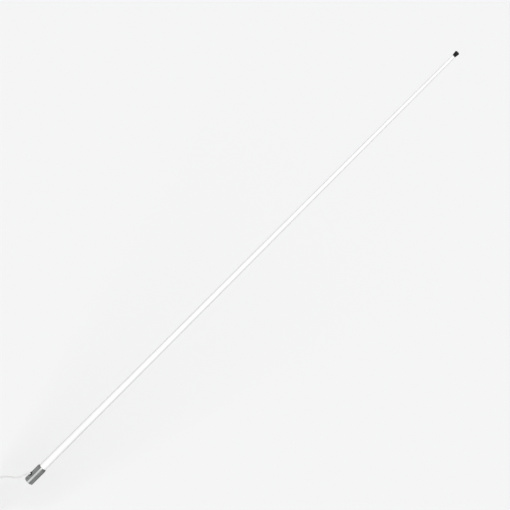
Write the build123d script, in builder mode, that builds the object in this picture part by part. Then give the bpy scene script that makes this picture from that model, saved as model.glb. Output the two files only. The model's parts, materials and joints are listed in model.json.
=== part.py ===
from build123d import *
import math
import os

# An upright VHF whip antenna that screws onto a one-inch threaded mount: a stainless ferrule, a
# long tapered fibreglass radome with its radiators inside, a tip cap, and a coaxial lead with a
# UHF plug. Millimetres, +Z up the whip, origin at the centre of the ferrule's lower face.
# The lead leaves the ferrule towards -X.

os.makedirs("parts", exist_ok=True)

# ---- Ferrule ----
ferrule_r = 19.0
ferrule_height = 84.0
shoulder_z = 77.0
shoulder_top_r = 16.4
shoulder_rounding = 1.5
foot_chamfer = 1.0
mount_bore_r = 12.7
mount_bore_depth = 24.0
chamber_r = 14.5
socket_r = 15.8
socket_z = 46.0

# ---- Radome ----
overall_height = 2440.0
radome_base_r = 15.5
radome_top_r = 6.75
radome_base_wall = 2.5
radome_top_wall = 1.3
cap_height = 20.5
radome_top_z = overall_height - cap_height

# ---- Tip cap ----
cap_flare_r = 8.75
cap_flare_height = 13.0
cap_crown = 2.0
cap_rounding = 4.2
cap_stem_length = 24.0
cap_stem_lead = 0.6

# ---- Base potting ----
potting_bottom_z = 25.0
potting_top_z = 90.0

# ---- Coaxial cable, from its jacket to its centre conductor ----
jacket_r = 3.05
braid_r = 1.9
dielectric_r = 1.48
conductor_r = 0.45
arc_share = 0.45

# ---- Lead exit: a hole that slants down and outwards through the ferrule's wall ----
exit_slope = 42.0
exit_z = 33.0
exit_hole_r = 4.4
hole_half_length = 14.0
grommet_lip_r = 8.0
grommet_lip = 2.0
grommet_lip_z = 32.4
grommet_edge = 0.8
lead_first_run = 11.0
inner_first_run = 19.4

# ---- Radiators and choke ----
sleeve_bottom_z = 325.0
sleeve_top_z = 785.0
sleeve_r = 8.0
sleeve_wall = 0.8
sleeve_cap_thickness = 4.0
sleeve_disc_heights = [340.0, 485.0, 630.0]
bare_braid = 6.0
feed_gap = 24.0
end_plug_length = 12.0
lower_radiator_r = 4.0
lower_radiator_length = 460.0
upper_radiator_r = 3.5
upper_radiator_length = 915.0
radiator_wall = 0.7
phasing_length = 120.0
phasing_spigot = 14.0
former_r = 6.0
phasing_wire = 1.6
phasing_margin = 8.0
conductor_reach = 2.0
braid_solder_leg = 1.5
core_solder_leg = 1.3

# ---- Foam and plastic spacers ----
foam_length = 25.0
foam_clearance = 0.05
disc_length = 8.0

# ---- Lead: its coil, ties and plug ----
coil_x = -91.0
coil_z = -181.0
coil_mid_r = 47.5
turns_across = 5
bundle_slack = 0.1
bundle_r = turns_across * jacket_r + bundle_slack
tie_thickness = 1.0
tie_width = 9.0
tie_slack = 0.15
tie_angles = (102.0, 290.0)
plug_x = -134.0
plug_y = -26.5
boot_top_z = -240.0

boot_length = 24.0
boot_top_r = 3.9
boot_bottom_r = 5.6
reducer_flange_r = 5.8
reducer_flange = 3.0
reducer_r = 4.6
reducer_length = 12.0
shank_r = 6.35
shank_length = 11.0
collar_r = 7.3
collar_length = 3.0
barrel_r = 6.8
barrel_length = 11.0
core_r = 4.4
insulator_length = 9.0
insulator_recess = 1.0
pin_r = 2.0
pin_reach = 15.0
pin_root = 6.0
ring_r = 9.2
ring_length = 19.0
ring_lip = 3.0
ring_thread_r = 7.9
ring_clearance = 0.05
ring_float = 0.3
knurl_count = 36
knurl_r = 0.45


def radome_outside(z):
    """The radome's outer radius at height z: one straight taper from base to tip."""
    share = (z - socket_z) / (radome_top_z - socket_z)
    return radome_base_r + share * (radome_top_r - radome_base_r)


def radome_inside(z):
    """The radome's inner radius at height z. Its wall thins evenly towards the tip."""
    share = (z - socket_z) / (radome_top_z - socket_z)
    wall = radome_base_wall + share * (radome_top_wall - radome_base_wall)
    return radome_outside(z) - wall


def turned(corners):
    """A solid turned about Z from its (radius, height) corners."""
    with BuildPart() as body:
        with BuildSketch(Plane.XZ):
            with BuildLine():
                Polyline(*corners, close=True)
            make_face()
        revolve(axis=Axis.Z)
    return body


def tube(bottom, top, outside, inside):
    """A straight round tube on the Z axis."""
    return turned([(inside, bottom), (outside, bottom), (outside, top), (inside, top)])


def rod(bottom, top, radius):
    """A straight round rod on the Z axis."""
    return turned([(0, bottom), (radius, bottom), (radius, top), (0, top)])


def bend_radii(points):
    """For each corner of a route, the largest arc that its two runs allow."""
    corners = [Vector(*p) for p in points]
    radii = []
    for before, at, after in zip(corners, corners[1:], corners[2:]):
        turn = (at - before).get_angle(after - at)
        run = min((at - before).length, (after - at).length)
        radii.append(arc_share * run / math.tan(math.radians(turn / 2)))
    return radii


def cable(points, name):
    """A round cable whose centreline is straight runs joined by tangent arcs."""
    radii = bend_radii(points)
    with BuildPart() as body:
        with BuildLine() as path:
            FilletPolyline(*points, radius=radii)
        with BuildSketch(Plane(origin=path.wire() @ 0, z_dir=path.wire() % 0)):
            Circle(jacket_r)
        sweep(path=path.wire())
    print(f"{name}: {path.wire().length:.1f} long, bend radii {[round(r) for r in radii]}")
    return body


slope = math.radians(exit_slope)
exit_way = Vector(-math.cos(slope), 0, -math.sin(slope))
exit_plane = Plane(origin=(-ferrule_r, 0, exit_z), z_dir=exit_way)
exit_point = Vector(-ferrule_r, 0, exit_z) + exit_way * (grommet_lip / math.cos(slope))

# The lead's route outside: down past the ferrule, a flare outwards, then a fall to its coil.
lead_route = [
    tuple(exit_point),
    tuple(exit_point + exit_way * lead_first_run),
    (-34.6, 0, 13.9),
    (-38.6, 0, 2.8),
    (-46.6, 0, -9.2),
    (-57.0, 0, -16.8),
    (-69.0, 0, -21.5),
    (-87.0, 0, -30.0),
    (-103.5, 0.5, -44.0),
    (-117.0, 1.5, -63.5),
    (-128.0, 3.0, -87.0),
    (-137.0, 4.5, -114.5),
    (-143.5, 5.5, -143.0),
    (-146.2, 6.1, -159.0),
]

# The tail leaves the inside of the coil, passes in front of it and hangs down into the plug.
tail_route = [
    (-133.0, -17.8, -192.0),
    (-133.6, -22.0, -208.0),
    (plug_x, plug_y, -224.0),
    (plug_x, plug_y, boot_top_z),
]

# Inside, the same cable climbs from the exit to the middle of the radome and on to the feed point.
jacket_top_z = sleeve_top_z - bare_braid
inner_route = [
    tuple(exit_point),
    tuple(exit_point - exit_way * inner_first_run),
    (0, 0, 58.0),
    (0, 0, 110.0),
]

# ---- Ferrule ----
with BuildPart() as ferrule:
    with BuildSketch(Plane.XZ):
        with BuildLine():
            Polyline(
                (mount_bore_r, 0),
                (ferrule_r, 0),
                (ferrule_r, shoulder_z),
                (shoulder_top_r, ferrule_height),
                (socket_r, ferrule_height),
                (socket_r, socket_z),
                (chamber_r, socket_z),
                (chamber_r, mount_bore_depth),
                (mount_bore_r, mount_bore_depth),
                close=True,
            )
        make_face()
    revolve(axis=Axis.Z)
    widest = ferrule.edges().filter_by(Plane.XY).group_by(SortBy.RADIUS)[-1].sort_by(Axis.Z)
    fillet(widest[-1], shoulder_rounding)
    chamfer(widest[0], foot_chamfer)
    with BuildSketch(exit_plane):
        Circle(exit_hole_r)
    extrude(amount=hole_half_length, both=True, mode=Mode.SUBTRACT)
ferrule.part.label = "ferrule"
export_step(ferrule.part, "parts/ferrule.step")

# ---- Grommet: a rubber bush in the ferrule's slanting hole, with a round lip outside ----
with BuildPart() as lip:
    with BuildSketch(Plane(origin=(0, 0, grommet_lip_z), z_dir=(-1, 0, 0))):
        Circle(grommet_lip_r)
    extrude(amount=2 * ferrule_r)
    with BuildSketch():
        Circle(ferrule_r + grommet_lip)
    extrude(amount=ferrule_height, mode=Mode.INTERSECT)
    chamfer(lip.edges().filter_by(GeomType.BSPLINE).group_by(Axis.X)[0], grommet_edge)
    with BuildSketch():
        Circle(ferrule_r)
    extrude(amount=ferrule_height, mode=Mode.SUBTRACT)

with BuildPart() as grommet:
    with BuildSketch(exit_plane):
        Circle(exit_hole_r)
    extrude(amount=hole_half_length, both=True)
    with BuildSketch():
        Circle(ferrule_r)
        Circle(chamber_r, mode=Mode.SUBTRACT)
    extrude(amount=ferrule_height, mode=Mode.INTERSECT)
    add(lip.part)
    with BuildSketch(exit_plane):
        Circle(jacket_r)
    extrude(amount=hole_half_length, both=True, mode=Mode.SUBTRACT)
grommet.part.label = "cable_grommet"
export_step(grommet.part, "parts/cable_grommet.step")

# ---- Radome, and the thin sleeve of epoxy that bonds it into the ferrule ----
radome = turned(
    [
        (radome_inside(socket_z), socket_z),
        (radome_base_r, socket_z),
        (radome_top_r, radome_top_z),
        (radome_inside(radome_top_z), radome_top_z),
    ]
)
radome.part.label = "radome"
export_step(radome.part, "parts/radome.step")

bond = turned(
    [
        (radome_base_r, socket_z),
        (socket_r, socket_z),
        (socket_r, ferrule_height),
        (radome_outside(ferrule_height), ferrule_height),
    ]
)
bond.part.label = "radome_bond"
export_step(bond.part, "parts/radome_bond.step")

# ---- Tip cap: a flared, domed cap with a stem that plugs the radome ----
with BuildPart() as tip_cap:
    stem_bottom = radome_top_z - cap_stem_length
    stem_r = radome_inside(stem_bottom) - foam_clearance
    crown_r = (cap_flare_r**2 + cap_crown**2) / (2 * cap_crown)
    with BuildSketch(Plane.XZ):
        with BuildLine():
            flare = Line((radome_top_r, radome_top_z), (cap_flare_r, radome_top_z + cap_flare_height))
            crown = RadiusArc((cap_flare_r, overall_height - cap_crown), (0, overall_height), -crown_r)
            Line(flare @ 1, crown @ 0)
            Polyline(
                crown @ 1,
                (0, stem_bottom),
                (stem_r - cap_stem_lead, stem_bottom),
                (radome_inside(radome_top_z) - foam_clearance, radome_top_z),
                flare @ 0,
            )
        make_face()
    revolve(axis=Axis.Z)
    crown_rim = tip_cap.edges().filter_by(Plane.XY).sort_by(Axis.Z)[-1]
    fillet(crown_rim, cap_rounding)
tip_cap.part.label = "tip_cap"
export_step(tip_cap.part, "parts/tip_cap.step")

# ---- Inner lead: the cable's climb through the potting, then straight up to the feed point ----
climb = cable(inner_route, "inner climb")
with BuildPart() as feed_coax:
    add(climb.part)
    with BuildSketch(Plane.XY.offset(inner_route[-1][2])):
        Circle(jacket_r)
    extrude(amount=jacket_top_z - inner_route[-1][2])
feed_coax.part.label = "feed_coax"
export_step(feed_coax.part, "parts/feed_coax.step")

# ---- Potting: epoxy that fills the chamber and the radome's foot around the cable ----
with BuildPart() as potting:
    with BuildSketch(Plane.XZ):
        with BuildLine():
            Polyline(
                (0, potting_bottom_z),
                (chamber_r, potting_bottom_z),
                (chamber_r, socket_z),
                (radome_inside(socket_z), socket_z),
                (radome_inside(potting_top_z), potting_top_z),
                (0, potting_top_z),
                close=True,
            )
        make_face()
    revolve(axis=Axis.Z)
    add(feed_coax.part, mode=Mode.SUBTRACT)
potting.part.label = "base_potting"
export_step(potting.part, "parts/base_potting.step")

# ---- Choke: a quarter-wave brass sleeve around the cable, closed at its top by a cap ----
choke_sleeve = tube(sleeve_bottom_z, sleeve_top_z, sleeve_r, sleeve_r - sleeve_wall)
choke_sleeve.part.label = "choke_sleeve"
export_step(choke_sleeve.part, "parts/choke_sleeve.step")

cap_top_z = sleeve_top_z + sleeve_cap_thickness
sleeve_cap = tube(sleeve_top_z, cap_top_z, sleeve_r, braid_r)
sleeve_cap.part.label = "sleeve_cap"
export_step(sleeve_cap.part, "parts/sleeve_cap.step")

for number, height in enumerate(sleeve_disc_heights, start=1):
    disc = tube(height, height + disc_length, sleeve_r - sleeve_wall, jacket_r)
    disc.part.label = f"sleeve_spacer_{number}"
    export_step(disc.part, f"parts/sleeve_spacer_{number}.step")

# ---- Stripped end of the cable: braid to the sleeve cap, core to the lower radiator ----
feed_top_z = cap_top_z + feed_gap
braid = tube(jacket_top_z, cap_top_z, braid_r, dielectric_r)
braid.part.label = "coax_braid"
export_step(braid.part, "parts/coax_braid.step")

dielectric = tube(jacket_top_z, feed_top_z - end_plug_length / 2, dielectric_r, conductor_r)
dielectric.part.label = "coax_dielectric"
export_step(dielectric.part, "parts/coax_dielectric.step")

conductor_top_z = feed_top_z + end_plug_length + conductor_reach
conductor = rod(jacket_top_z, conductor_top_z, conductor_r)
conductor.part.label = "centre_conductor"
export_step(conductor.part, "parts/centre_conductor.step")

braid_solder = turned(
    [
        (braid_r, sleeve_top_z - braid_solder_leg),
        (braid_r + braid_solder_leg, sleeve_top_z),
        (braid_r, sleeve_top_z),
    ]
)
braid_solder.part.label = "braid_solder"
export_step(braid_solder.part, "parts/braid_solder.step")

core_solder_z = feed_top_z + end_plug_length
core_solder = turned(
    [
        (conductor_r, core_solder_z),
        (conductor_r + core_solder_leg, core_solder_z),
        (conductor_r, core_solder_z + core_solder_leg),
    ]
)
core_solder.part.label = "core_solder"
export_step(core_solder.part, "parts/core_solder.step")

# ---- Feed insulator between the sleeve cap and the lower radiator's end plug ----
with BuildPart() as feed_insulator:
    with BuildSketch(Plane.XY.offset(cap_top_z)):
        Circle(sleeve_r)
    extrude(amount=feed_gap)
    with BuildSketch(Plane.XY.offset(cap_top_z)):
        Circle(dielectric_r)
    extrude(amount=feed_gap - end_plug_length / 2, mode=Mode.SUBTRACT)
    with BuildSketch(Plane.XY.offset(feed_top_z - end_plug_length / 2)):
        Circle(lower_radiator_r)
    extrude(amount=end_plug_length / 2, mode=Mode.SUBTRACT)
feed_insulator.part.label = "feed_insulator"
export_step(feed_insulator.part, "parts/feed_insulator.step")

# ---- Radiators: the lower tube with its end plug, the phasing section, the upper tube ----
end_plug = tube(
    feed_top_z - end_plug_length / 2,
    feed_top_z + end_plug_length,
    lower_radiator_r - radiator_wall,
    conductor_r,
)
end_plug.part.label = "feed_end_plug"
export_step(end_plug.part, "parts/feed_end_plug.step")

lower_top_z = feed_top_z + lower_radiator_length
lower_radiator = tube(feed_top_z, lower_top_z, lower_radiator_r, lower_radiator_r - radiator_wall)
lower_radiator.part.label = "lower_radiator"
export_step(lower_radiator.part, "parts/lower_radiator.step")

upper_bottom_z = lower_top_z + phasing_length
upper_top_z = upper_bottom_z + upper_radiator_length
upper_radiator = tube(upper_bottom_z, upper_top_z, upper_radiator_r, upper_radiator_r - radiator_wall)
upper_radiator.part.label = "upper_radiator"
export_step(upper_radiator.part, "parts/upper_radiator.step")

phasing_former = turned(
    [
        (0, lower_top_z - phasing_spigot),
        (lower_radiator_r - radiator_wall, lower_top_z - phasing_spigot),
        (lower_radiator_r - radiator_wall, lower_top_z),
        (former_r, lower_top_z),
        (former_r, upper_bottom_z),
        (upper_radiator_r - radiator_wall, upper_bottom_z),
        (upper_radiator_r - radiator_wall, upper_bottom_z + phasing_spigot),
        (0, upper_bottom_z + phasing_spigot),
    ]
)
phasing_former.part.label = "phasing_former"
export_step(phasing_former.part, "parts/phasing_former.step")

# The winding is one sleeve here, as thick as its wire.
phasing_coil = tube(
    lower_top_z + phasing_margin,
    upper_bottom_z - phasing_margin,
    former_r + phasing_wire,
    former_r,
)
phasing_coil.part.label = "phasing_coil"
export_step(phasing_coil.part, "parts/phasing_coil.step")

# ---- Foam spacers: each fills the radome's taper and holds what passes through its hole ----
foam_holds = [
    (150.0, jacket_r),
    (265.0, jacket_r),
    (380.0, sleeve_r),
    (555.0, sleeve_r),
    (735.0, sleeve_r),
    (900.0, lower_radiator_r),
    (1050.0, lower_radiator_r),
    (1200.0, lower_radiator_r),
    (1445.0, upper_radiator_r),
    (1620.0, upper_radiator_r),
    (1795.0, upper_radiator_r),
    (1970.0, upper_radiator_r),
    (2145.0, upper_radiator_r),
    (2270.0, upper_radiator_r),
]
for number, (height, held_r) in enumerate(foam_holds, start=1):
    top = height + foam_length
    foam = turned(
        [
            (held_r, height),
            (radome_inside(height) - foam_clearance, height),
            (radome_inside(top) - foam_clearance, top),
            (held_r, top),
        ]
    )
    foam.part.label = f"foam_spacer_{number}"
    export_step(foam.part, f"parts/foam_spacer_{number}.step")

# ---- Lead ----
lead_cable = cable(lead_route, "lead_cable")
lead_cable.part.label = "lead_cable"
export_step(lead_cable.part, "parts/lead_cable.step")

lead_tail = cable(tail_route, "lead_tail")
lead_tail.part.label = "lead_tail"
export_step(lead_tail.part, "parts/lead_tail.step")

# The coil of spare lead hangs in the XZ plane: a ring as thick as its bundle of turns.
with BuildPart() as lead_coil:
    with BuildSketch(Plane.XY.offset(coil_z)):
        with Locations((coil_x + coil_mid_r, 0)):
            Circle(bundle_r)
    revolve(axis=Axis((coil_x, 0, coil_z), (0, 1, 0)))
lead_coil.part.label = "lead_coil"
export_step(lead_coil.part, "parts/lead_coil.step")

# Each tie is a narrow strap once round the bundle.
for number, angle in enumerate(tie_angles, start=1):
    across = Vector(math.cos(math.radians(angle)), 0, math.sin(math.radians(angle)))
    along = across.cross(Vector(0, 1, 0))
    middle = Vector(coil_x, 0, coil_z) + across * coil_mid_r
    with BuildPart() as tie:
        with BuildSketch(Plane(origin=middle, z_dir=along)):
            Circle(bundle_r + tie_slack + tie_thickness)
            Circle(bundle_r + tie_slack, mode=Mode.SUBTRACT)
        extrude(amount=tie_width / 2, both=True)
        add(lead_coil.part, mode=Mode.SUBTRACT)
    tie.part.label = f"coil_tie_{number}"
    export_step(tie.part, f"parts/coil_tie_{number}.step")


# ---- Plug, hanging nose down at the end of the tail ----
def hung(corners):
    """A solid turned about the plug's upright axis, from its (radius, height) corners."""
    with BuildPart() as body:
        with BuildSketch(Plane(origin=(plug_x, plug_y, 0), x_dir=(1, 0, 0), z_dir=(0, -1, 0))):
            with BuildLine():
                Polyline(*corners, close=True)
            make_face()
        revolve(axis=Axis((plug_x, plug_y, 0), (0, 0, 1)))
    return body


boot_bottom_z = boot_top_z - boot_length
boot = hung(
    [
        (jacket_r, boot_top_z),
        (boot_top_r, boot_top_z),
        (boot_bottom_r, boot_bottom_z),
        (jacket_r, boot_bottom_z),
    ]
)
boot.part.label = "plug_boot"
export_step(boot.part, "parts/plug_boot.step")

# The tail runs on through the boot and the reducer, down to the centre pin.
pin_top_z = boot_bottom_z - reducer_length - reducer_flange
plug_lead = hung(
    [
        (0, boot_top_z),
        (jacket_r, boot_top_z),
        (jacket_r, pin_top_z + reducer_flange),
        (dielectric_r, pin_top_z + reducer_flange),
        (dielectric_r, pin_top_z),
        (0, pin_top_z),
    ]
)
plug_lead.part.label = "plug_lead"
export_step(plug_lead.part, "parts/plug_lead.step")

reducer_z = boot_bottom_z - reducer_flange
reducer = hung(
    [
        (jacket_r, boot_bottom_z),
        (reducer_flange_r, boot_bottom_z),
        (reducer_flange_r, reducer_z),
        (reducer_r, reducer_z),
        (reducer_r, reducer_z - reducer_length),
        (jacket_r, reducer_z - reducer_length),
    ]
)
reducer.part.label = "plug_reducer"
export_step(reducer.part, "parts/plug_reducer.step")

# The body: a shank that takes the reducer, a collar that keeps the ring on, and a barrel.
collar_z = reducer_z - shank_length
barrel_z = collar_z - collar_length
nose_z = barrel_z - barrel_length
plug_body = hung(
    [
        (reducer_r, reducer_z),
        (shank_r, reducer_z),
        (shank_r, collar_z),
        (collar_r, collar_z),
        (collar_r, barrel_z),
        (barrel_r, barrel_z),
        (barrel_r, nose_z),
        (core_r, nose_z),
        (core_r, reducer_z - reducer_length),
        (reducer_r, reducer_z - reducer_length),
    ]
)
plug_body.part.label = "plug_body"
export_step(plug_body.part, "parts/plug_body.step")

insulator_bottom_z = nose_z + insulator_recess
plug_insulator = hung(
    [
        (pin_r, insulator_bottom_z),
        (core_r, insulator_bottom_z),
        (core_r, insulator_bottom_z + insulator_length),
        (pin_r, insulator_bottom_z + insulator_length),
    ]
)
plug_insulator.part.label = "plug_insulator"
export_step(plug_insulator.part, "parts/plug_insulator.step")

# The centre pin is a closed tube with a rounded tip. Its pocket takes the cable's dielectric.
tip_z = nose_z - pin_reach
with BuildPart() as plug_pin:
    with BuildSketch(Plane(origin=(plug_x, plug_y, 0), x_dir=(1, 0, 0), z_dir=(0, -1, 0))):
        with BuildLine():
            nose = RadiusArc((0, tip_z), (pin_r, tip_z + pin_r), -pin_r)
            Polyline(nose @ 1, (pin_r, pin_top_z), (0, pin_top_z), nose @ 0)
        make_face()
    revolve(axis=Axis((plug_x, plug_y, 0), (0, 0, 1)))
plug_pin.part.label = "plug_pin"
export_step(plug_pin.part, "parts/plug_pin.step")

# The coupling ring turns on the shank, held by the collar, and screws onto a socket.
ring_top_z = collar_z + ring_float + ring_lip
with BuildPart() as coupling_ring:
    with BuildSketch(Plane(origin=(plug_x, plug_y, 0), x_dir=(1, 0, 0), z_dir=(0, -1, 0))):
        with BuildLine():
            Polyline(
                (shank_r + ring_clearance, ring_top_z),
                (ring_r, ring_top_z),
                (ring_r, ring_top_z - ring_length),
                (ring_thread_r, ring_top_z - ring_length),
                (ring_thread_r, ring_top_z - ring_lip),
                (shank_r + ring_clearance, ring_top_z - ring_lip),
                close=True,
            )
        make_face()
    revolve(axis=Axis((plug_x, plug_y, 0), (0, 0, 1)))
    with BuildSketch(Plane.XY.offset(ring_top_z)):
        with Locations((plug_x, plug_y)):
            with PolarLocations(ring_r, knurl_count):
                Circle(knurl_r)
    extrude(amount=-ring_length, mode=Mode.SUBTRACT)
coupling_ring.part.label = "coupling_ring"
export_step(coupling_ring.part, "parts/coupling_ring.step")
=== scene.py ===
"""An upright whip antenna: materials, the coiled coaxial lead and the fine detail around the CAD."""
import json
import math

import bmesh
import bpy
from mathutils import Matrix, Vector


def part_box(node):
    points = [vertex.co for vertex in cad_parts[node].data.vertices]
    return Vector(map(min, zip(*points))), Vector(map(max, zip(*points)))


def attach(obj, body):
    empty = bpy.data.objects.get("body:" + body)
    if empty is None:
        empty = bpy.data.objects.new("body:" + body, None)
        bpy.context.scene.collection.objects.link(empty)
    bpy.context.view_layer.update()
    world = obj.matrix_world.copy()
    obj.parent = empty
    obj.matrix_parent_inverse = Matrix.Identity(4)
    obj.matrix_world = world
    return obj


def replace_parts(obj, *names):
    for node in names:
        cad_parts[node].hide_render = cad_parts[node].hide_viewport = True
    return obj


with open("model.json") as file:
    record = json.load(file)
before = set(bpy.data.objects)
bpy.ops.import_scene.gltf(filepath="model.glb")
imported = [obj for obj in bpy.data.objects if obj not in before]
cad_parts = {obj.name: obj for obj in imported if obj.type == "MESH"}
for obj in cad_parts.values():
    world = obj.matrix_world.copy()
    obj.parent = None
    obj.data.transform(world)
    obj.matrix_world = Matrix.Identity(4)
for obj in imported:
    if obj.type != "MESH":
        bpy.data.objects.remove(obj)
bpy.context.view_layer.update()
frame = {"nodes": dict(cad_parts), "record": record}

# ---- Sizes in metres, from the frame and from the lead's own route ----
FERRULE_R = Vector(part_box("ferrule")[1]).x
RING_LOW, RING_HIGH = (Vector(c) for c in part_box("coupling_ring"))
BOOT_LOW, BOOT_HIGH = (Vector(c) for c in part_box("plug_boot"))
COIL_LOW, COIL_HIGH = (Vector(c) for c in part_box("lead_coil"))
WINDING_LOW, WINDING_HIGH = (Vector(c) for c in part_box("phasing_coil"))
MOUNT = next(m for m in frame["record"]["mounts"] if m["name"] == "mount_thread")
BORE_R = MOUNT["dims"]["r_mm"] / 1000
BORE_DEPTH = MOUNT["dims"]["length_mm"] / 1000
PLUG_X = (BOOT_LOW.x + BOOT_HIGH.x) / 2
PLUG_Y = (BOOT_LOW.y + BOOT_HIGH.y) / 2

INCH = 0.0254
MOUNT_PITCH = INCH / 14
MOUNT_RIDGE_DEPTH = 0.0009
MOUNT_RIDGE_START = 0.0022
MOUNT_RIDGE_STOP = BORE_DEPTH - 0.0015

RING_PITCH = INCH / 24
RING_THREAD_R = 0.0079
RING_RIDGE_DEPTH = 0.0005
RING_LIP = 0.003
RING_RELIEF = 0.0012

# The ridge of a thread. Its widths are half widths, in pitches, and its root sinks into the wall.
RIDGE_SIDES = 48
RIDGE_ROOT = 0.42
RIDGE_CREST = 0.08
RIDGE_SINK = 0.00002
RIDGE_FADE_STEPS = RIDGE_SIDES / 3
RIDGE_LEAST = 0.02

WIRE_R = 0.0008
WIRE_SIDES = 8
WINDING_R = WINDING_HIGH.x - WIRE_R
WINDING_TURNS = 18
WINDING_STEPS_A_TURN = 24

LEAD_R = 0.00305
LEAD_D = 2 * LEAD_R
COIL_MIDDLE = (COIL_LOW + COIL_HIGH) / 2
BUNDLE_R = (COIL_HIGH.y - COIL_LOW.y) / 2
COIL_MID_R = (COIL_HIGH.x - COIL_LOW.x) / 2 - BUNDLE_R
POINTS_A_TURN = 16
FIRST_ANGLE = math.radians(170.9)
LAST_ANGLE = math.radians(103.4)
SHIFT_SHARE = 0.3
# Layers of the bundle from the outside in: how many layers out from the middle one, and its turns.
LAYERS = ((2, 3), (1, 4), (0, 5), (-1, 4), (-2, 3))

STRAP_WIDTH = 0.009
STRAP_THICKNESS = 0.0009
STRAP_GAP = 0.00005
STRAP_STEPS = 90
# A strap goes once round and on, in turns. Its end lifts off its start over LIFT_TURNS.
STRAP_TURNS = 1.16
LIFT_START = 0.93
LIFT_TURNS = 0.07
STRAP_START_ANGLE = -0.6
# The strap's section as (share of its thickness outwards, share of its width to one side).
STRAP_SECTION = ((0, -0.5), (0, 0.5), (0.75, 0.5), (1, 0.42), (1, -0.42), (0.75, -0.5))


# ---- Material helpers ----
def new_material(name):
    """A node material with its Principled shader: the material, its tree and the shader."""
    material = bpy.data.materials.new(name)
    material.use_nodes = True
    tree = material.node_tree
    return material, tree, tree.nodes["Principled BSDF"]


def coordinates(tree, scale=(1, 1, 1)):
    """Object coordinates, stretched by scale."""
    place = tree.nodes.new("ShaderNodeTexCoord")
    mapping = tree.nodes.new("ShaderNodeMapping")
    mapping.inputs["Scale"].default_value = scale
    tree.links.new(place.outputs["Object"], mapping.inputs["Vector"])
    return mapping.outputs["Vector"]


def round_axis(tree, radius, rise):
    """Coordinates that depend on the angle round Z alone, and hardly on height: streaks along Z."""
    place = tree.nodes.new("ShaderNodeTexCoord")
    apart = tree.nodes.new("ShaderNodeSeparateXYZ")
    flat = tree.nodes.new("ShaderNodeCombineXYZ")
    outward = tree.nodes.new("ShaderNodeVectorMath")
    outward.operation = "NORMALIZE"
    tree.links.new(place.outputs["Object"], apart.inputs["Vector"])
    tree.links.new(apart.outputs["X"], flat.inputs["X"])
    tree.links.new(apart.outputs["Y"], flat.inputs["Y"])
    tree.links.new(flat.outputs["Vector"], outward.inputs[0])
    scaled = tree.nodes.new("ShaderNodeVectorMath")
    scaled.operation = "SCALE"
    scaled.inputs["Scale"].default_value = radius
    tree.links.new(outward.outputs["Vector"], scaled.inputs[0])
    lift = tree.nodes.new("ShaderNodeVectorMath")
    lift.operation = "MULTIPLY_ADD"
    lift.inputs[1].default_value = (0, 0, rise)
    tree.links.new(place.outputs["Object"], lift.inputs[0])
    tree.links.new(scaled.outputs["Vector"], lift.inputs[2])
    return lift.outputs["Vector"]


def noise(tree, vector, scale, detail=4.0, roughness=0.55):
    """A noise from 0 to 1, with scale features to the metre."""
    texture = tree.nodes.new("ShaderNodeTexNoise")
    texture.inputs["Scale"].default_value = scale
    texture.inputs["Detail"].default_value = detail
    texture.inputs["Roughness"].default_value = roughness
    tree.links.new(vector, texture.inputs["Vector"])
    return texture.outputs["Fac"]


def ramp(tree, factor, stops):
    """A colour ramp between two (position, colour) stops."""
    node = tree.nodes.new("ShaderNodeValToRGB")
    for element, (position, colour) in zip(node.color_ramp.elements, stops):
        element.position = position
        element.color = (*colour, 1)
    tree.links.new(factor, node.inputs["Fac"])
    return node.outputs["Color"]


def spread(tree, factor, low, high):
    """factor from 0 to 1 carried to low to high."""
    node = tree.nodes.new("ShaderNodeMapRange")
    node.inputs["To Min"].default_value = low
    node.inputs["To Max"].default_value = high
    tree.links.new(factor, node.inputs["Value"])
    return node.outputs["Result"]


def bump(tree, height, strength, distance):
    """A normal that follows a height."""
    node = tree.nodes.new("ShaderNodeBump")
    node.inputs["Strength"].default_value = strength
    node.inputs["Distance"].default_value = distance
    tree.links.new(height, node.inputs["Height"])
    return node.outputs["Normal"]


def plain(name, dark, light, roughness, scale, relief, metallic=0.0, stretch=(1, 1, 1), specular=0.5):
    """A material whose colour, roughness and fine relief follow one noise."""
    material, tree, shader = new_material(name)
    grain = noise(tree, coordinates(tree, stretch), scale)
    tree.links.new(ramp(tree, grain, [(0.3, dark), (0.7, light)]), shader.inputs["Base Color"])
    tree.links.new(spread(tree, grain, *roughness), shader.inputs["Roughness"])
    tree.links.new(bump(tree, grain, 0.5, relief), shader.inputs["Normal"])
    shader.inputs["Metallic"].default_value = metallic
    shader.inputs["Specular IOR Level"].default_value = specular
    return material


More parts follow.
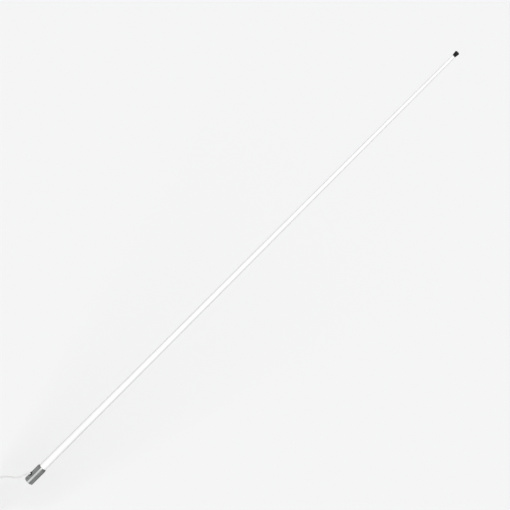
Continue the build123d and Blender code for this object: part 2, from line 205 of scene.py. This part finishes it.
# ---- Materials ----
def steel():
    """Drawn stainless steel: fine hairline grain and broader painted reflection bands streak its colour
    along the axis, and a highlight that is narrow round it.
    """
    material, tree, shader = new_material("ferrule_steel")
    around = round_axis(tree, FERRULE_R, 0.015)
    # Broad bands round the axis are painted reflection: light and dark stripes in the steel's colour stand
    # in for the surroundings mirrored along the ferrule. The fine hairlines are its real drawn grain.
    painted_reflection_bands = noise(tree, around, 230.0, detail=3.0, roughness=0.7)
    hairlines = noise(tree, around, 2600.0, detail=2.0)
    hairline_share = 0.35
    streaks = tree.nodes.new("ShaderNodeMath")
    streaks.operation = "MULTIPLY_ADD"
    streaks.inputs[1].default_value = hairline_share
    tree.links.new(hairlines, streaks.inputs[0])
    tree.links.new(spread(tree, painted_reflection_bands, -hairline_share / 2, 1 - hairline_share / 2), streaks.inputs[2])
    # The dark and light colours are the two ends of the painted reflection bands and the grain.
    dark, light = (0.20, 0.21, 0.205), (0.55, 0.56, 0.55)
    tree.links.new(
        ramp(tree, streaks.outputs["Value"], [(0.38, dark), (0.62, light)]), shader.inputs["Base Color"]
    )
    tree.links.new(spread(tree, hairlines, 0.56, 0.66), shader.inputs["Roughness"])
    tree.links.new(bump(tree, hairlines, 0.3, 0.00003), shader.inputs["Normal"])
    tangent = tree.nodes.new("ShaderNodeTangent")
    tangent.direction_type = "RADIAL"
    tangent.axis = "Z"
    tree.links.new(tangent.outputs["Tangent"], shader.inputs["Tangent"])
    shader.inputs["Anisotropic"].default_value = 0.7
    shader.inputs["Anisotropic Rotation"].default_value = 0.25
    shader.inputs["Metallic"].default_value = 1.0
    return material


def gelcoat():
    """White coated fibreglass: a satin white that is very slightly uneven."""
    material, tree, shader = new_material("radome_white")
    cloud = noise(tree, coordinates(tree, (1, 1, 0.15)), 30.0, detail=5.0)
    orange_peel = noise(tree, coordinates(tree), 650.0, detail=2.0)
    dark, light = (0.69, 0.69, 0.686), (0.74, 0.74, 0.736)
    tree.links.new(ramp(tree, cloud, [(0.25, dark), (0.75, light)]), shader.inputs["Base Color"])
    tree.links.new(spread(tree, cloud, 0.42, 0.50), shader.inputs["Roughness"])
    tree.links.new(bump(tree, orange_peel, 0.15, 0.00004), shader.inputs["Normal"])
    shader.inputs["Specular IOR Level"].default_value = 0.05
    return material


def strap_weave():
    """Black hook-and-loop strap: a fine fuzzy weave."""
    material, tree, shader = new_material("tie_strap")
    cells = tree.nodes.new("ShaderNodeTexVoronoi")
    cells.inputs["Scale"].default_value = 1500.0
    tree.links.new(coordinates(tree), cells.inputs["Vector"])
    weave = cells.outputs["Distance"]
    light, dark = (0.05, 0.05, 0.055), (0.015, 0.015, 0.018)
    tree.links.new(ramp(tree, weave, [(0.1, light), (0.8, dark)]), shader.inputs["Base Color"])
    tree.links.new(bump(tree, weave, 0.8, 0.0002), shader.inputs["Normal"])
    shader.inputs["Roughness"].default_value = 0.9
    shader.inputs["Sheen Weight"].default_value = 0.3
    return material


# Dark and light colour, least and most roughness, the noise's scale, and the relief in metres.
PLAIN_FINISHES = {
    "cap_black": ((0.004, 0.004, 0.004), (0.01, 0.01, 0.011), (0.42, 0.58), 900.0, 0.00005),
    "grommet_rubber": ((0.004, 0.004, 0.004), (0.012, 0.012, 0.012), (0.6, 0.8), 1200.0, 0.00006),
    "epoxy": ((0.05, 0.035, 0.02), (0.11, 0.08, 0.05), (0.15, 0.35), 120.0, 0.0002),
    "cable_jacket": ((0.54, 0.54, 0.53), (0.60, 0.60, 0.59), (0.42, 0.55), 260.0, 0.00005),
    "braid_copper": ((0.5, 0.36, 0.28), (0.8, 0.6, 0.48), (0.3, 0.5), 2500.0, 0.0001),
    "dielectric": ((0.82, 0.82, 0.8), (0.9, 0.9, 0.88), (0.4, 0.6), 900.0, 0.00003),
    "copper": ((0.62, 0.30, 0.18), (0.82, 0.46, 0.30), (0.22, 0.4), 300.0, 0.00003),
    "brass_tube": ((0.62, 0.46, 0.20), (0.80, 0.64, 0.33), (0.2, 0.42), 140.0, 0.00003),
    "solder": ((0.5, 0.5, 0.51), (0.72, 0.72, 0.73), (0.25, 0.45), 700.0, 0.0001),
    "insulator_white": ((0.84, 0.83, 0.79), (0.92, 0.91, 0.88), (0.3, 0.45), 500.0, 0.00003),
    "former_plastic": ((0.74, 0.72, 0.65), (0.84, 0.82, 0.76), (0.35, 0.5), 400.0, 0.00004),
    "foam": ((0.70, 0.70, 0.66), (0.88, 0.88, 0.84), (0.8, 1.0), 1100.0, 0.0004),
    "boot_rubber": ((0.012, 0.012, 0.013), (0.03, 0.03, 0.032), (0.5, 0.7), 800.0, 0.00006),
    "nickel": ((0.55, 0.54, 0.51), (0.70, 0.69, 0.66), (0.14, 0.3), 220.0, 0.00002),
}
# What sets some of them apart: metal, a noise drawn out along the part, or a weaker gloss.
OWN_TRAITS = {
    "cap_black": {"specular": 0.15},
    "grommet_rubber": {"specular": 0.25},
    "cable_jacket": {"specular": 0.25},
    "braid_copper": {"metallic": 1.0},
    "copper": {"metallic": 1.0},
    "brass_tube": {"metallic": 1.0, "stretch": (1, 1, 0.04)},
    "solder": {"metallic": 1.0},
    "nickel": {"metallic": 1.0},
}
MATERIALS = {"ferrule_steel": steel(), "radome_white": gelcoat(), "tie_strap": strap_weave()}
for slot_name, finish in PLAIN_FINISHES.items():
    MATERIALS[slot_name] = plain(slot_name, *finish, **OWN_TRAITS.get(slot_name, {}))


def finish_with(piece, slot):
    """Gives a piece the material of a slot."""
    piece.data.materials.clear()
    piece.data.materials.append(MATERIALS[slot])


def add_piece(name, body, slot, mesh):
    """A new mesh piece that rides on a body and takes a slot's finish."""
    piece = bpy.data.objects.new(name, mesh)
    bpy.context.scene.collection.objects.link(piece)
    finish_with(piece, slot)
    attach(piece, body)
    return piece


def ring_mesh(name, rings):
    """A mesh skin through rings of points, capped at both ends."""
    mesh = bmesh.new()
    loops = [[mesh.verts.new(point) for point in ring] for ring in rings]
    for first, second in zip(loops, loops[1:]):
        for a, b, c, d in zip(first, first[1:] + first[:1], second[1:] + second[:1], second):
            mesh.faces.new((a, b, c, d))
    mesh.faces.new(loops[0][::-1])
    mesh.faces.new(loops[-1])
    bmesh.ops.recalc_face_normals(mesh, faces=mesh.faces)
    data = bpy.data.meshes.new(name)
    mesh.to_mesh(data)
    mesh.free()
    data.shade_smooth()
    return data


def thread_ridge(name, centre, wall_r, pitch, depth, low, high):
    """The ridge of an internal thread, which fades out at its two ends."""
    turns = (high - low) / pitch
    steps = int(turns * RIDGE_SIDES)
    rings = []
    for step in range(steps + 1):
        angle = 2 * math.pi * step / RIDGE_SIDES
        fade = min(1, step / RIDGE_FADE_STEPS, (steps - step) / RIDGE_FADE_STEPS)
        crest_r = wall_r - max(fade, RIDGE_LEAST) * depth
        root_r = wall_r + RIDGE_SINK
        middle = low + (high - low) * step / steps
        outward = Vector((math.cos(angle), math.sin(angle), 0))
        section = [
            (root_r, -RIDGE_ROOT * pitch),
            (root_r, RIDGE_ROOT * pitch),
            (crest_r, RIDGE_CREST * pitch),
            (crest_r, -RIDGE_CREST * pitch),
        ]
        rings.append([centre + outward * r + Vector((0, 0, middle + z)) for r, z in section])
    return ring_mesh(name, rings)


# ---- Threads ----
add_piece(
    "mount_thread_ridge",
    "antenna",
    "ferrule_steel",
    thread_ridge(
        "mount_thread_ridge",
        Vector(),
        BORE_R,
        MOUNT_PITCH,
        MOUNT_RIDGE_DEPTH,
        MOUNT_RIDGE_START,
        MOUNT_RIDGE_STOP,
    ),
)
add_piece(
    "ring_thread_ridge",
    "coupling_ring",
    "nickel",
    thread_ridge(
        "ring_thread_ridge",
        Vector((PLUG_X, PLUG_Y, 0)),
        RING_THREAD_R,
        RING_PITCH,
        RING_RIDGE_DEPTH,
        RING_LOW.z + RING_RELIEF,
        RING_HIGH.z - RING_LIP - RING_RELIEF,
    ),
)

# ---- Lead: one smooth spline from the grommet, round the coil's turns, to the plug ----
LEAD_START = [
    (-0.0210, 0, 0.0312),
    (-0.0292, 0, 0.0238),
    (-0.0346, 0, 0.0139),
    (-0.0386, 0, 0.0028),
    (-0.0466, 0, -0.0092),
    (-0.0570, 0, -0.0168),
    (-0.0690, 0, -0.0215),
    (-0.0870, 0, -0.0300),
    (-0.1035, 0.0005, -0.0440),
    (-0.1170, 0.0015, -0.0635),
    (-0.1280, 0.0030, -0.0870),
    (-0.1370, 0.0045, -0.1145),
    (-0.1435, 0.0055, -0.1430),
]
LEAD_END = [
    (-0.1126, -0.0080, -0.1511),
    (-0.1210, -0.0115, -0.1600),
    (-0.1282, -0.0145, -0.1710),
    (-0.1320, -0.0165, -0.1824),
    (-0.1330, -0.0180, -0.1940),
    (-0.1336, -0.0220, -0.2080),
    (-0.1340, -0.0265, -0.2240),
    (-0.1340, -0.0265, -0.2400),
    (-0.1340, -0.0265, -0.2480),
]


def turn_places():
    """Where each turn lies in the bundle, as (layer, y): packed closely, wound from the outside in."""
    places = []
    side = 1
    for layer, count in LAYERS:
        row = [LEAD_D * (i - (count - 1) / 2) for i in range(count)]
        places += [(layer, side * y) for y in reversed(row)]
        side = -side
    return places


def coil_points():
    """Control points of the coil's turns, which stand out because the spline cuts inside them."""
    places = turn_places()
    spacing = 2 * math.pi / POINTS_A_TURN
    stand_out = 1 / (0.75 + 0.25 * math.cos(spacing))
    turns = len(places) - (FIRST_ANGLE - LAST_ANGLE) / (2 * math.pi)
    points = []
    for step in range(round(turns * POINTS_A_TURN) + 1):
        turn, along = divmod(step, POINTS_A_TURN)
        share = max(0, (along / POINTS_A_TURN - (1 - SHIFT_SHARE)) / SHIFT_SHARE)
        ease = share * share * (3 - 2 * share)
        here = Vector(places[turn])
        there = Vector(places[min(turn + 1, len(places) - 1)])
        layer, y = here.lerp(there, ease)
        radius = (COIL_MID_R + layer * LEAD_D * math.sqrt(3) / 2) * stand_out
        angle = FIRST_ANGLE + step * spacing
        x = COIL_MIDDLE.x + radius * math.cos(angle)
        z = COIL_MIDDLE.z + radius * math.sin(angle)
        points.append((x, y, z))
    return points


def spline_curve(name, points, radius):
    """A round curve whose one smooth NURBS spline has these control points."""
    curve = bpy.data.curves.new(name, "CURVE")
    curve.dimensions = "3D"
    curve.bevel_depth = radius
    curve.bevel_resolution = 5
    curve.resolution_u = 6
    curve.use_fill_caps = True
    spline = curve.splines.new("NURBS")
    spline.points.add(len(points) - 1)
    for control, point in zip(spline.points, points):
        control.co = (*point, 1)
    spline.order_u = 3
    spline.use_endpoint_u = True
    spline.use_smooth = True
    return curve


lead_points = LEAD_START + coil_points() + LEAD_END
lead = bpy.data.objects.new("lead", spline_curve("lead", lead_points, LEAD_R))
bpy.context.scene.collection.objects.link(lead)
finish_with(lead, "cable_jacket")
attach(lead, "antenna")
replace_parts(lead, "lead_cable", "lead_coil", "lead_tail")


def strap(number):
    """A flat strap once round the bundle, with its loose end lapped over its start."""
    low, high = (Vector(c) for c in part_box(f"coil_tie_{number}"))
    across = (low + high) / 2 - COIL_MIDDLE
    across.y = 0
    across.normalize()
    sideways = Vector((0, 1, 0))
    along = across.cross(sideways)
    centre = COIL_MIDDLE + across * COIL_MID_R
    rings = []
    for step in range(STRAP_STEPS + 1):
        turned = step / STRAP_STEPS * STRAP_TURNS
        angle = 2 * math.pi * turned + STRAP_START_ANGLE
        lift = max(0.0, min(1.0, (turned - LIFT_START) / LIFT_TURNS))
        radius = BUNDLE_R + STRAP_GAP + lift * (STRAP_THICKNESS + STRAP_GAP)
        outward = across * math.cos(angle) + sideways * math.sin(angle)
        rings.append(
            [
                centre + outward * (radius + STRAP_THICKNESS * out) + along * STRAP_WIDTH * side
                for out, side in STRAP_SECTION
            ]
        )
    piece = add_piece(f"tie_strap_{number}", "antenna", "tie_strap", ring_mesh(f"tie_strap_{number}", rings))
    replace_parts(piece, f"coil_tie_{number}")
    return piece


straps = [strap(1), strap(2)]


# ---- Phasing coil: the real winding in place of its sleeve ----
def winding():
    """One round wire, wound round the former."""
    steps = WINDING_TURNS * WINDING_STEPS_A_TURN
    rise = WINDING_HIGH.z - WINDING_LOW.z - 2 * WIRE_R
    corners = [2 * math.pi * side / WIRE_SIDES for side in range(WIRE_SIDES)]
    rings = []
    for step in range(steps + 1):
        angle = 2 * math.pi * step / WINDING_STEPS_A_TURN
        outward = Vector((math.cos(angle), math.sin(angle), 0))
        height = WINDING_LOW.z + WIRE_R + rise * step / steps
        rings.append(
            [
                outward * (WINDING_R + WIRE_R * math.cos(a)) + Vector((0, 0, height + WIRE_R * math.sin(a)))
                for a in corners
            ]
        )
    return ring_mesh("phasing_winding", rings)


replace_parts(add_piece("phasing_winding", "antenna", "copper", winding()), "phasing_coil")

# ---- CAD nodes take the material of their slot ----
for entry in frame["record"]["subparts"]:
    finish_with(frame["nodes"][entry["node"]], entry["material_slot"])

# ---- Floor ----
FLOOR_Z = -0.5
FLOOR_HALF = 60.0
floor_corners = [(x * FLOOR_HALF, y * FLOOR_HALF, FLOOR_Z) for x, y in ((-1, -1), (1, -1), (1, 1), (-1, 1))]
floor_mesh = bpy.data.meshes.new("floor")
floor_mesh.from_pydata(floor_corners, [], [(0, 1, 2, 3)])
floor = bpy.data.objects.new("floor", floor_mesh)
bpy.context.scene.collection.objects.link(floor)
floor_material, _, floor_shader = new_material("floor")
floor_shader.inputs["Base Color"].default_value = (0.84, 0.84, 0.84, 1)
floor_shader.inputs["Roughness"].default_value = 0.9
floor_shader.inputs["Specular IOR Level"].default_value = 0.0
floor_mesh.materials.append(floor_material)

# ---- Light: azimuths and elevations in degrees ----
VIEW_AZIMUTH = -34
VIEW_ELEVATION = 20


def towards(azimuth, elevation):
    """The direction from the object to a viewer or a lamp."""
    turn, rise = math.radians(azimuth), math.radians(elevation)
    return Vector((math.sin(turn) * math.cos(rise), -math.cos(turn) * math.cos(rise), math.sin(rise)))


def sun(name, azimuth, elevation, strength, angle):
    """A far lamp whose disc is seen under an angle, so that its shadows are soft."""
    lamp = bpy.data.lights.new(name, "SUN")
    lamp.energy = strength
    lamp.angle = math.radians(angle)
    light = bpy.data.objects.new(name, lamp)
    light.rotation_euler = towards(azimuth, elevation).to_track_quat("Z", "Y").to_euler()
    bpy.context.scene.collection.objects.link(light)


sun("key", VIEW_AZIMUTH, 25, 3.3, 12)
sun("back", VIEW_AZIMUTH + 180, 30, 2.0, 25)
sun("top", 0, 88, 0.65, 8)

world = bpy.data.worlds.new("studio")
world.use_nodes = True
background = world.node_tree.nodes["Background"]
background.inputs["Color"].default_value = (0.95, 0.97, 1.0, 1)
background.inputs["Strength"].default_value = 0.12
bpy.context.scene.world = world
bpy.context.scene.view_settings.view_transform = "Standard"

# ---- Camera: the whip runs up the picture's diagonal, from the lower left to the upper right ----
PICTURE_WIDTH = 1.922
AIM_HEIGHT = 1.310
LENS = 400
SENSOR = 36
back = towards(VIEW_AZIMUTH, VIEW_ELEVATION)
level = towards(VIEW_AZIMUTH + 90, 0)
upright = back.cross(level)
right = (level + upright).normalized()
up = (upright - level).normalized()
lens = bpy.data.cameras.new("camera")
lens.sensor_width = SENSOR
lens.lens = LENS
lens.clip_end = 200
camera = bpy.data.objects.new("camera", lens)
stand = Vector((0, 0, AIM_HEIGHT)) + back * (PICTURE_WIDTH * LENS / SENSOR)
camera.matrix_world = Matrix.Translation(stand) @ Matrix((right, up, back)).transposed().to_4x4()
bpy.context.scene.collection.objects.link(camera)
bpy.context.scene.camera = camera
